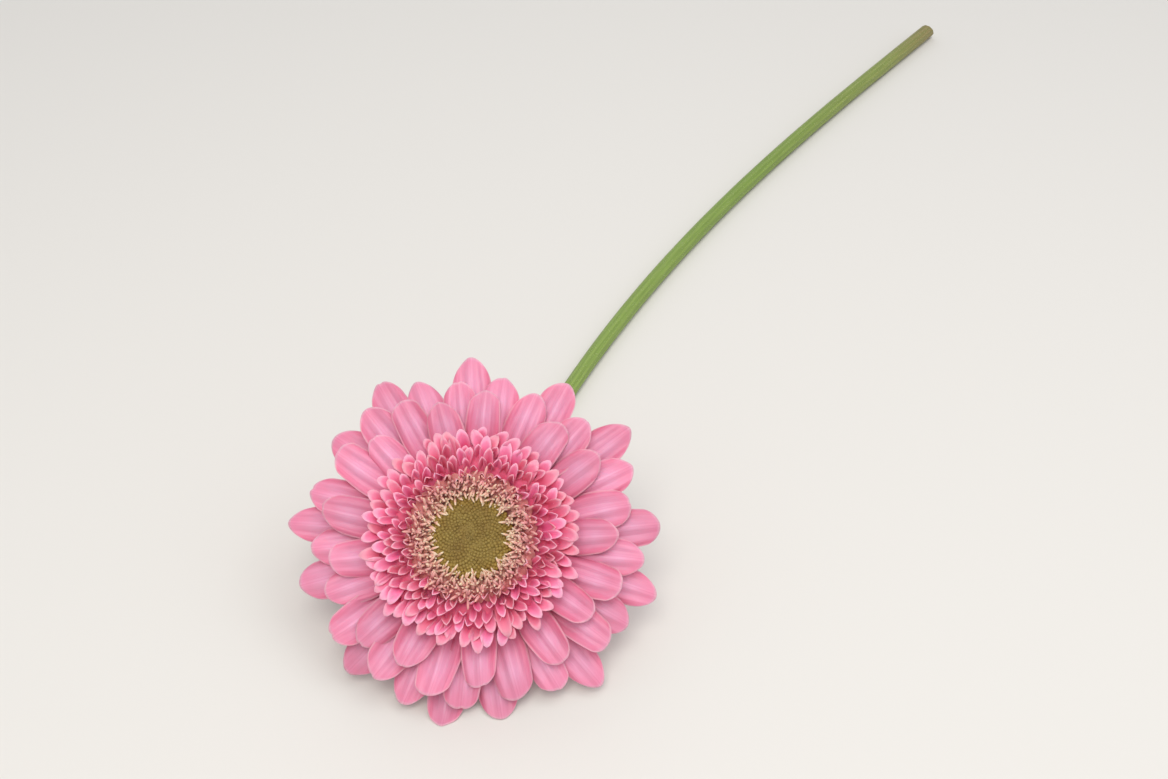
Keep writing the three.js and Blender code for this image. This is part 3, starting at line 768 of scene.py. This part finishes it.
def strapShape(name, style, variant):
    # a strap that stands along z, leans out along x and has its rounded tip at the origin
    length = style["length"]
    width = style["width"] * (1 + strap["widthScatter"] * scatter(variant, 50))
    v = leafColumns(strap["columns"])
    tipLength = (strap["tipRound"] + strap["tipScatter"] * scatter(variant, 55)) * width / 2 / length
    rounded = 1 - tipLength * (1 - np.sqrt(1 - 0.98 * np.abs(v) ** 2.5))
    s = np.linspace(0, 1, strap["rows"])[:, None] ** 0.8 * rounded
    half = width / 2 * (0.45 + 0.55 * smooth(s, 0.1, 0.7)) * (1 - 0.08 * smooth(s, 0.86, 1))
    cup = style["cup"] * (1 + strap["cupScatter"] * scatter(variant, 51))
    hook = style["hook"] + strap["hookScatter"] * scatter(variant, 52)
    crease = strap["crease"] * np.exp(-(v / 0.3) ** 2) * smooth(s, 0.3, 0.7)
    x = style["flare"] * (s ** 2.4 - 1) - cup * half * np.abs(v) ** 1.6 * smooth(s, 0, 0.5)
    x = x + hook * smooth(s, 0.8, 1) ** 2 + crease
    x = x + strap["twist"] * scatter(variant, 54) * v * smooth(s, 0.4, 1)
    y = half * v + strap["sway"] * scatter(variant, 53) * (s ** 2 - 1)
    points = np.stack([x, y, length * (s - 1) + 0 * v], axis=-1)
    thinner = np.clip(np.abs(v) ** 3 + smooth(s, 0.85, 1), 0, 1)
    thickness = mix(strap["thickness"], strap["rimThickness"], thinner)
    # the grid runs up and to the side, so it is flipped to face inwards
    verts, faces, uvs, side = sheetShell(points[:, ::-1], thickness, v)
    return makePiece(name, verts, faces, transPetal, uvs, {"side": side})


def seatOnRays(piece):
    # the straps' feet stay above the ray florets' bases, so that none shows from behind
    points = np.array([v.co for v in piece.data.vertices]) / mm
    inHead = (points - headOrigin) @ headTurn.T
    ledge = seat["height"] + seat["slope"] * (np.hypot(inHead[:, 0], inHead[:, 1]) - seat["radius"])
    sunk = ledge - seat["depthKept"] * (ledge - inHead[:, 2])
    inHead[:, 2] = np.where(inHead[:, 2] < ledge, sunk, inHead[:, 2])
    piece.data.vertices.foreach_set("co", (toPart(inHead) * mm).astype(np.float32).ravel())
    return piece


for number, row in enumerate(transShapes):
    count = transRows["Total"] // len(transShapes)
    straps = [strapShape(f"{row['name']}Shape{k}", row["style"], number * strap["variants"] + k)
              for k in range(strap["variants"])]
    shapes = variantSet(row["name"] + "Shapes", straps)
    settings = dict(transRows, Shapes=shapes, Count=count, Start=number * count, Seed=20 + number)
    florets = seatOnRays(growPiece(row["name"], spiral, settings, headMatrix))
    placePiece(florets, "trans_petal", row["node"])
print("trans florets made")

# the florets' tubes, packed side by side below their open ends: fluted cups of radius and height
tubes = {
    "wall": 0.6, "innerWall": 0.4,  # the wall's thickness, and the share of it that narrows the inside
    "depth": 0.05, "sidesPerFlute": 4,
    "trans": {"flutes": 66, "profile": [
        (7.6, 9.2), (9.4, 12), (11.3, 15.4), (13.6, 19), (16.6, 22.6), (21, 24.6), (27.5, 24.6)]},
    "disc": {"flutes": 44, "profile": [
        (6.4, 9.4), (8.4, 13.5), (10.2, 18), (11.6, 22.5), (11.9, 24.6), (14.5, 25.6), (19.2, 26)]},
}


def flutedCup(flutes, profile):
    wall = tubes["wall"]
    inside = [(r - tubes["innerWall"] * wall, h - wall) for r, h in reversed(profile)]
    rings = profileRings(profile + inside, flutes * tubes["sidesPerFlute"], flutes, tubes["depth"])
    verts, faces = turnedShell(rings)
    # the profile runs outwards and back below itself, so its faces are turned over
    return toPart(verts) * mm, [f[::-1] for f in faces]


verts, faces = flutedCup(**tubes["trans"])
uvs = np.full((len(verts), 2), 0.3)
placePiece(makePiece("transTubes", verts, faces, transPetal, uvs, {"tone": 0.4, "way": 0.6}), "trans_petal")
verts, faces = flutedCup(**tubes["disc"])
values = {"tint": 0.35, "tone": 0.5, "way": 0.6}
placePiece(makePiece("discTubes", verts, faces, discFloret, values=values), "disc_floret")

# the ring of open disc florets, their mouths about 2.2 mm apart
discForm = {
    "variants": 5, "tubeFoot": -7, "tubeLength": 6.7, "tubeRadius": 1.35,
    "lipTurns": [0, 160, 200], "lipTurnScatter": 30, "lipLean": 50, "lipLeanScatter": 22,
    "lipLength": 3.7, "lipLengthScatter": 0.9, "lipRadius": 0.46, "lipFoot": -0.7, "mouthRadius": 0.35,
    "styleTurns": [90, 270], "styleTurnScatter": 60, "styleLean": 18, "styleLeanScatter": 14,
    "styleLength": 2.8, "styleLengthScatter": 0.7, "styleRadius": 0.36, "styleFoot": -0.5,
}
fingerSwell = np.array([0.7, 0.8, 0.95, 1.0, 0.85, 0.4])  # a finger's radius as it rises


def fingerMesh(base, lean, around, length, radius, tints, sides=5):
    # a round-ended finger that starts at base and bends further over as it rises
    rows = len(fingerSwell)
    s = np.linspace(0, 1, rows)
    bend = lean * (0.35 + 0.65 * s)
    out = np.concatenate([[0], np.cumsum(np.sin(bend[1:]) * length / (rows - 1))])
    rise = np.concatenate([[0], np.cumsum(np.cos(bend[1:]) * length / (rows - 1))])
    swell = radius * fingerSwell
    angles = np.arange(sides) / sides * 2 * math.pi
    forward, sideways = roundAxes(around)
    rings = []
    for k in range(rows):
        centre = np.array(base) + forward * out[k] + np.array([0, 0, rise[k]])
        over = forward * math.cos(bend[k]) - np.array([0, 0, math.sin(bend[k])])
        ring = np.cos(angles)[:, None] * over + np.sin(angles)[:, None] * sideways
        rings.append(centre + swell[k] * ring)
    verts, faces = turnedShell(rings)
    tint = np.interp(s, [0, 1], tints)
    return verts, faces, np.concatenate([np.repeat(tint, sides), [tint[0], tint[-1]]])


def discFloretShape(name, variant):
    # an open disc floret, its mouth at the origin: a tube, lips that curl away and thin styles
    tubeFoot = (0, 0, discForm["tubeFoot"])
    parts = [fingerMesh(tubeFoot, 0, 0, discForm["tubeLength"], discForm["tubeRadius"], (0.3, 0.6))]
    for lip, towards in enumerate(discForm["lipTurns"]):
        draw = variant * discForm["variants"] + lip
        around = (towards + discForm["lipTurnScatter"] * scatter(draw, 60)) * degree
        lean = (discForm["lipLean"] + discForm["lipLeanScatter"] * scatter(draw, 61)) * degree
        length = discForm["lipLength"] + discForm["lipLengthScatter"] * scatter(draw, 62)
        mouth = discForm["mouthRadius"]
        base = (mouth * math.cos(around), mouth * math.sin(around), discForm["lipFoot"])
        parts.append(fingerMesh(base, lean, around, length, discForm["lipRadius"], (0.42, 0.98)))
    for style, towards in enumerate(discForm["styleTurns"]):
        draw = variant * discForm["variants"] + style
        around = (towards + discForm["styleTurnScatter"] * scatter(draw, 63)) * degree
        lean = (discForm["styleLean"] + discForm["styleLeanScatter"] * scatter(draw, 64)) * degree
        length = discForm["styleLength"] + discForm["styleLengthScatter"] * scatter(variant, 65)
        base = (0, 0, discForm["styleFoot"])
        parts.append(fingerMesh(base, lean, around, length, discForm["styleRadius"], (0.6, 1.0)))
    verts, faces, tints = joinMeshes(parts)
    return makePiece(name, verts, faces, discFloret, values={"tint": tints})


discShapes = [discFloretShape(f"discShape{k}", k) for k in range(discForm["variants"])]
discRing = {
    "Shapes": variantSet("discShapes", discShapes), "Count": 132, "Total": 132,
    "Inner Radius": 12.3, "Outer Radius": 18.2, "Inner Height": 26.6, "Outer Height": 28.4, "Crown": 1.6,
    "Inner Lean": -34 * degree, "Outer Lean": 8 * degree, "Lean Scatter": 10 * degree,
    "Inner Size": 0.9, "Outer Size": 1.0, "Size Scatter": 0.12,
    "Turn Scatter": 0.5, "Radius Scatter": 0.3, "Height Scatter": 0.5, "Seed": 31, "Material": discFloret,
}
placePiece(growPiece("discFlorets", spiral, discRing, headMatrix), "disc_floret", "disc_florets")
print("disc florets made")

# the eye: closed buds, and the cushion that they stand on; profiles are radius and height
bud = {
    "sides": 6, "profile": [(0.5, -3), (0.74, -1), (0.8, -0.2), (0.66, 0.42), (0.26, 0.8)],
    "tints": [0.2, 0.3, 0.55, 0.8, 1.0],
}
verts, faces = turnedShell(profileRings(bud["profile"], bud["sides"]))
tint = np.concatenate([np.repeat(bud["tints"], bud["sides"]), [bud["tints"][0], bud["tints"][-1]]])
budShape = makePiece("budShape", verts, faces, oliveBud, values={"tint": tint})
eye = {
    "Shapes": variantSet("budShapes", [budShape]), "Count": 520, "Total": 520,
    "Inner Radius": 0.2, "Outer Radius": 12.4, "Inner Height": 26.0, "Outer Height": 26.2, "Crown": 3.0,
    "Inner Lean": 0.0, "Outer Lean": 22 * degree, "Lean Scatter": 14 * degree,
    "Inner Size": 0.7, "Outer Size": 0.94, "Size Scatter": 0.22,
    "Turn Scatter": 1.0, "Radius Scatter": 0.16, "Height Scatter": 0.2, "Seed": 44, "Material": oliveBud,
}
placePiece(growPiece("discBuds", spiral, eye, headMatrix), "disc_bud", "disc_buds")
eyeProfile = [
    (3.0, receptacleHeight + 0.3), (4.6, 15), (8.2, 21), (10.8, 24.6), (11.8, 26.4), (9.6, 26.9),
    (6.5, 27.05), (3, 26.8), (1, 26.4),
]
verts, faces = turnedShell(profileRings(eyeProfile, 48))
values = {"tint": 0.8, "way": 0.6, "tone": 0.6}
placePiece(makePiece("budBase", toPart(verts) * mm, faces, oliveBud, values=values), "disc_bud")
print("eye made")
for collection in spareSets:
    for shape in list(collection.objects):
        bpy.data.objects.remove(shape)
    bpy.data.collections.remove(collection)


# receptacle and bracts
bracts = {
    "gap": 0.3, "layer": 0.8, "stagger": 0.25, "thickness": 0.55, "rimThickness": 0.16,
    "rows": 18, "columns": 7, "overlap": 1.45, "hug": 0.35,
    # each row: layer out from the receptacle, count, tip height, half width as a share of its place
    "sets": [
        ("bractsInner", "involucre_inner", [(0.2, 21, 13.6, 0.98), (0.75, 21, 12.4, 0.95)]),
        ("bractsOuter", "involucre_outer", [(1.25, 19, 9.8, 0.95), (1.75, 15, 6.6, 0.95)]),
    ],
}
# the underside that the bracts hug: shares of the receptacle's radius and height
underside = [(0.42, 0.1), (0.62, 0.27), (0.78, 0.46), (0.9, 0.66), (0.98, 0.86), (1, 0.97), (0.96, 1)]
cushionProfile = [
    (2.9, -0.2), (3.5, 0.25), *((r * receptacleRadius, h * receptacleHeight) for r, h in underside),
    (0.5 * receptacleRadius, receptacleHeight + 0.1),
]
verts, faces = turnedShell(profileRings(cushionProfile, 60))
uvs = np.stack([np.arctan2(verts[:, 1], verts[:, 0]) / (2 * math.pi), verts[:, 2] / 30], axis=1)
receptacle = makePiece("receptacleCushion", toPart(verts) * mm, faces, downyBract, uvs, {"tone": 0.6})
placePiece(receptacle, "receptacle_skin", "receptacle")


def easedLine(line, steps, window):
    # a smooth curve along a line's points, by a moving average over the window
    stops, fine = np.arange(len(line)), np.linspace(0, len(line) - 1, steps)
    curve = np.stack([np.interp(fine, stops, line[:, k]) for k in (0, 1)], axis=1)
    ends = window // 2
    padded = np.concatenate([np.repeat(curve[:1], ends, 0), curve, np.repeat(curve[-1:], ends, 0)])
    kernel = np.ones(window) / window
    return fine, *(np.convolve(padded[:, k], kernel, "valid") for k in (0, 1))


def bractMesh(number, count, layer, tipHeight, breadth, salt):
    # a pointed leaf that hugs the receptacle and frees itself at its tip
    clear = bracts["gap"] + bracts["layer"] * layer + bracts["stagger"] * (number % 2)
    radius, height = receptacleRadius, receptacleHeight
    line = np.array([
        [0.34 * radius + 0.3 * clear, 0.02 * height - clear],
        [0.6 * radius + 0.6 * clear, 0.22 * height - 0.9 * clear],
        [0.82 * radius + 0.8 * clear, 0.48 * height - 0.7 * clear],
        [0.97 * radius + clear, 0.8 * height - 0.3 * clear],
        [radius + clear + 0.6 + 0.4 * scatter(number, salt + 1), 13.5],
    ])
    tip = tipHeight * (1 + 0.05 * scatter(number, salt))
    s = np.linspace(0, 1, bracts["rows"])[:, None]
    v = leafColumns(bracts["columns"])
    fine, lineRadius, lineHeight = easedLine(line, 81, 13)
    at = s * np.interp(tip, line[:, 1], np.arange(len(line)))
    r = np.interp(at, fine, lineRadius) + 0 * v
    h = np.interp(at, fine, lineHeight) + 0 * v
    place = math.pi / count * bracts["overlap"] * breadth
    half = place * (0.72 + 0.28 * smooth(s, 0, 0.35)) * np.clip(1 - s ** 3.2, 0.03, 1) ** 0.75
    around = (number + 0.5 * (salt % 2)) * 2 * math.pi / count + 0.03 * scatter(number, salt + 2)
    phi = around + half * v
    bulge = -bracts["hug"] * v ** 2 * (1 - s)  # the margins hug the row below
    points = np.stack([(r + bulge) * np.cos(phi), (r + bulge) * np.sin(phi), h], axis=-1)
    thickness = mix(bracts["thickness"], bracts["rimThickness"], np.clip(np.abs(v) ** 3 + s ** 4, 0, 1))
    # seen from outside the grid runs up and to the left, so it is flipped to face outwards
    verts, faces, uvs = sheetShell(points[:, ::-1], thickness, v)[:3]
    return verts, faces, uvs, np.full(len(verts), 0.5 + 0.5 * scatter(number, salt + 3))


bractPieces = []
for name, node, rows in bracts["sets"]:
    leaves = [
        bractMesh(number, count, layer, tipHeight, breadth, 30 + salt)
        for salt, (layer, count, tipHeight, breadth) in enumerate(rows) for number in range(count)
    ]
    verts, faces, uvs, tones = joinMeshes(leaves)
    bractPieces.append(makePiece(name, toPart(verts) * mm, faces, downyBract, uvs, {"tone": tones}))
    placePiece(bractPieces[-1], "bract_skin", node)
print("bracts made")


# the stalk
stalk = {
    "length": 480, "topRadius": 2.9, "footRadius": 3.9, "neckTurn": 12, "bow": 9, "cutSlant": 24,
    "sides": 54, "neckRings": 60, "lyingRings": 240, "ribs": 9, "ribDepth": 0.035, "ribTwist": 0.004,
    "gap": 0.3, "inset": 0.02, "neckTaper": 0.1,  # the share of its taper that the neck takes up
    "flare": 1.2, "flareLength": 2,  # it widens into the receptacle
    # the cut, as shares of the radius and depths: a thin green rim, then pith with a small hollow
    "cut": [(1, 0), (0.93, -0.12), (0.8, 0.05), (0.5, 0.1), (0.28, 0.0), (0.22, 0.7), (0.16, 2.2),
            (0.03, 2.8)],
    "hollowDepth": 0.6, "hollowShade": 0.1,
}
ribbedStalk = stalkSkin(stalk["ribs"])
cutPith = cutPithSkin()


def bezier(points, t):
    a, b, c, d = points
    t = t[:, None]
    return (1 - t) ** 3 * a + 3 * (1 - t) ** 2 * t * b + 3 * (1 - t) * t ** 2 * c + t ** 3 * d


def heading(degrees):
    return np.array([-math.sin(degrees * degree), math.cos(degrees * degree), 0])


def stalkLine():
    # a round bend below the head, then the part that lies on the table: centres and radii
    top = headOrigin - faceAxis * stalk["gap"]
    topRadius, footRadius = stalk["topRadius"], stalk["footRadius"]
    landingRadius = mix(topRadius, footRadius, stalk["neckTaper"])
    bendRadius = (top[2] - landingRadius) / (1 - math.cos(tilt))
    handle = 4 / 3 * math.tan(tilt / 4) * bendRadius
    way = heading(stalk["neckTurn"])
    landing = top + heading((pose["faceTurn"] + stalk["neckTurn"]) / 2) * bendRadius * math.sin(tilt)
    landing[2] = landingRadius
    lying = stalk["length"] - bendRadius * tilt
    foot = np.array([landing[0] + stalk["bow"], landing[1] + lying, footRadius])
    second = landing + way * lying / 3
    second[2] = mix(landingRadius, footRadius, 1 / 3)
    third = np.array([foot[0] - 2 * stalk["bow"], foot[1] - lying / 3, mix(landingRadius, footRadius, 2 / 3)])
    neckAt = np.linspace(0, 1, stalk["neckRings"], endpoint=False)
    lieAt = np.linspace(0, 1, stalk["lyingRings"])
    neck = bezier([top, top - faceAxis * handle, landing - way * handle, landing], neckAt)
    lie = bezier([landing, second, third, foot], lieAt)
    radii = [mix(topRadius, landingRadius, neckAt), mix(landingRadius, footRadius, lieAt)]
    return np.concatenate([neck, lie]), np.concatenate(radii)


centres, radii = stalkLine()
ahead = np.gradient(centres, axis=0)
ahead /= np.linalg.norm(ahead, axis=1, keepdims=True)
sideAt = np.cross(ahead, [0, 0, 1])
sideAt /= np.linalg.norm(sideAt, axis=1, keepdims=True)
overAt = np.cross(sideAt, ahead)
runAt = np.concatenate([[0], np.cumsum(np.linalg.norm(np.diff(centres, axis=0), axis=1))])
angles = np.arange(stalk["sides"] + 1) / stalk["sides"] * 2 * math.pi  # the seam's column comes twice
rings = []
for i, (centre, radius) in enumerate(zip(centres, radii)):
    flare = stalk["flare"] * math.exp(-runAt[i] / stalk["flareLength"])
    wander = 0.05 * math.sin(runAt[i] / 23) + 0.03 * math.sin(runAt[i] / 7.1)
    depth = stalk["ribDepth"] * (0.7 + 0.3 * math.sin(runAt[i] / 40))
    ribbed = 1 - depth + depth * np.cos(stalk["ribs"] * angles + stalk["ribTwist"] * runAt[i])
    r = np.minimum((radius - stalk["inset"]) * ribbed + flare + 0.3 * wander, radius + flare)
    slant = math.tan(stalk["cutSlant"] * degree) if i == len(centres) - 1 else 0
    ring = centre + r[:, None] * (np.cos(angles)[:, None] * sideAt[i] + np.sin(angles)[:, None] * overAt[i])
    rings.append(ring - (slant * r * np.sin(angles))[:, None] * ahead[i])
u, v = np.meshgrid(angles / (2 * math.pi), runAt / runAt[-1])

cutRings = [
    centres[-1] + (rings[-1] - centres[-1]) * share - ahead[-1] * depth for share, depth in stalk["cut"]
]
# painted shade: rings of the cut deeper than hollowDepth take the dark hollowShade place on the pith's ramp
cutShades = [share if depth < stalk["hollowDepth"] else stalk["hollowShade"] for share, depth in stalk["cut"]]
columns = len(angles)
skinCount, cutCount = len(rings) * columns, len(cutRings) * columns
grid = np.arange(skinCount).reshape(-1, columns)
cutGrid = np.arange(skinCount, skinCount + cutCount).reshape(-1, columns)
stalkFaces, cutFaces = gridFaces(grid), gridFaces(cutGrid)
topCentre, endCentre = skinCount + cutCount, skinCount + cutCount + 1
topFaces = [(topCentre, grid[0, j], grid[0, j + 1]) for j in range(columns - 1)]
endFaces = [(endCentre, cutGrid[-1, j + 1], cutGrid[-1, j]) for j in range(columns - 1)]
verts = np.concatenate([*rings, *cutRings, centres[:1], cutRings[-1].mean(0)[None]])
uvs = np.concatenate([np.stack([u.ravel(), v.ravel()], axis=1), np.zeros((cutCount + 2, 2))])
rim = np.concatenate([np.ones(skinCount), np.repeat(cutShades, columns), [1, stalk["hollowShade"]]])
faces = [*stalkFaces, *cutFaces, *topFaces, *endFaces]
scape = makePiece("stalkFine", verts * mm, faces, ribbedStalk, uvs, {"rim": rim})
scape.data.materials.append(cutPith)
cutStart, endStart = len(stalkFaces), len(faces) - len(endFaces)
for number in [*range(cutStart, cutStart + len(cutFaces)), *range(endStart, len(faces))]:
    scape.data.polygons[number].material_index = 1
mergeTool = scape.modifiers.new("seam", "WELD")
mergeTool.merge_threshold = 0.002 * mm
placePiece(scape, "stalk_skin", "stalk")
print("stalk made")


# down: short pale hairs on the stalk and the bracts
def downTree():
    # hairs on a surface, each a thin spike that leans a little
    tree, given = startTree("downOnSkin", [
        ("Surface", "Geometry", None), ("Shape", "Object", None), ("Density", "Float", 1e5),
        ("Smallest", "Float", 0.5), ("Largest", "Float", 1.2), ("Seed", "Int", 1),
        ("Material", "Material", None),
    ])
    spots = addNode(tree, "GeometryNodeDistributePointsOnFaces", inputs={
        "Mesh": given["Surface"], "Density": given["Density"], "Seed": given["Seed"]})
    sway = addNode(tree, "FunctionNodeRandomValue", {"data_type": "FLOAT_VECTOR"}, {
        0: (-0.5, -0.5, -3.0), 1: (0.5, 0.5, 3.0), "Seed": given["Seed"]})
    swayTurn = addNode(tree, "FunctionNodeEulerToRotation", inputs={0: sway})
    stand = addNode(tree, "FunctionNodeRotateRotation", {"rotation_space": "LOCAL"}, {
        0: spots.outputs["Rotation"], 1: swayTurn})
    size = addNode(tree, "FunctionNodeRandomValue", {"data_type": "FLOAT"}, {
        2: given["Smallest"], 3: given["Largest"], "Seed": given["Seed"]})
    shape = addNode(tree, "GeometryNodeObjectInfo", inputs={"Object": given["Shape"]})
    copies = addNode(tree, "GeometryNodeInstanceOnPoints", inputs={
        "Points": spots.outputs["Points"], "Instance": shape.outputs["Geometry"],
        "Rotation": stand, "Scale": size})
    return finishTree(tree, copies, given["Material"])


# a real hair is about 0.02 mm thick: this one is coarser, so that the down shows
hairProfile, hairBends = [(0.035, -0.05), (0.025, 0.5), (0.006, 1.0)], [0, 0.06, 0.22]
rings = [(ring + (bend, 0, 0)) * mm for ring, bend in zip(profileRings(hairProfile, 3), hairBends)]
hair = makePiece("hairShape", *turnedShell(rings), paleDown)
down = downTree()
hairSizes = {"Smallest": 0.35, "Largest": 0.95}
for name, surface, slot, density, seed in [
    ("stalkDown", scape, "stalk_skin", 0.5e6, 3), ("bractDown", bractPieces[0], "bract_skin", 1.1e6, 5),
    ("outerBractDown", bractPieces[1], "bract_skin", 1.1e6, 6),
]:
    settings = dict(hairSizes, Shape=hair, Density=density, Seed=seed, Material=paleDown)
    placePiece(growPiece(name, down, settings, Matrix.Identity(4), surface), slot)
bpy.data.objects.remove(hair)
print("down made")


# floor, light and camera
floorHalf = 40  # metres
floorCorners = [(x * floorHalf, y * floorHalf, 0) for x, y in ((-1, -1), (1, -1), (1, 1), (-1, 1))]
palePaper = startMaterial("palePaper", {"Base Color": hexColour("#dedbd6"), "Roughness": 0.9})[0]
floor = makePiece("floor", floorCorners, [(0, 1, 2, 3)], palePaper)


def lookFrom(thing, place, away):
    # puts a light or the camera in its place, looking back along away
    thing.location = place
    thing.rotation_euler = away.to_track_quat("Z", "Y").to_euler()
    bpy.context.scene.collection.objects.link(thing)


def softLight(name, target, azimuth, elevation, distance, size, watts, colour):
    # a square area light that looks at the target
    data = bpy.data.lights.new(name, "AREA")
    data.size, data.energy, data.color = size, watts, hexColour(colour)[:3]
    away = Vector(direction(azimuth, elevation))
    lookFrom(bpy.data.objects.new(name, data), target + away * distance, away)


headCentre = Vector(toPart([0, 0, 18]) * mm)
softLights = [
    dict(azimuth=24, elevation=62, distance=1.3, size=0.6, watts=8.0, colour="#fffaf3", name="keySoftbox"),
    dict(azimuth=115, elevation=70, distance=1.3, size=0.9, watts=4.4, colour="#ffffff",
         name="overheadSoftbox"),
    dict(azimuth=110, elevation=42, distance=1.6, size=0.9, watts=1.6, colour="#f3f7ff", name="sideFill"),
    dict(azimuth=215, elevation=42, distance=1.6, size=0.9, watts=1.7, colour="#ffffff", name="backFill"),
]
for settings in softLights:
    softLight(target=headCentre, **settings)
world = bpy.data.worlds.new("softSky")
world.use_nodes = True
sky = {"Color": hexColour("#eef0f3"), "Strength": 0.64}
setInputs(world.node_tree, world.node_tree.nodes["Background"], sky)
bpy.context.scene.world = world
bpy.context.scene.view_settings.view_transform = "Standard"

viewpoint = {"azimuth": 30, "elevation": 41, "distance": 0.39, "lens": 39, "aimRight": 0.034, "aimUp": 0.046}
away = Vector(direction(viewpoint["azimuth"], viewpoint["elevation"]))
right = Vector((math.cos(viewpoint["azimuth"] * degree), math.sin(viewpoint["azimuth"] * degree), 0))
aim = right * viewpoint["aimRight"] + away.cross(right) * viewpoint["aimUp"]
camera = bpy.data.objects.new("camera", bpy.data.cameras.new("camera"))
camera.data.lens = viewpoint["lens"]
camera.data.clip_start = 0.01
lookFrom(camera, headCentre + away * viewpoint["distance"] + aim, away)
bpy.context.scene.camera = camera
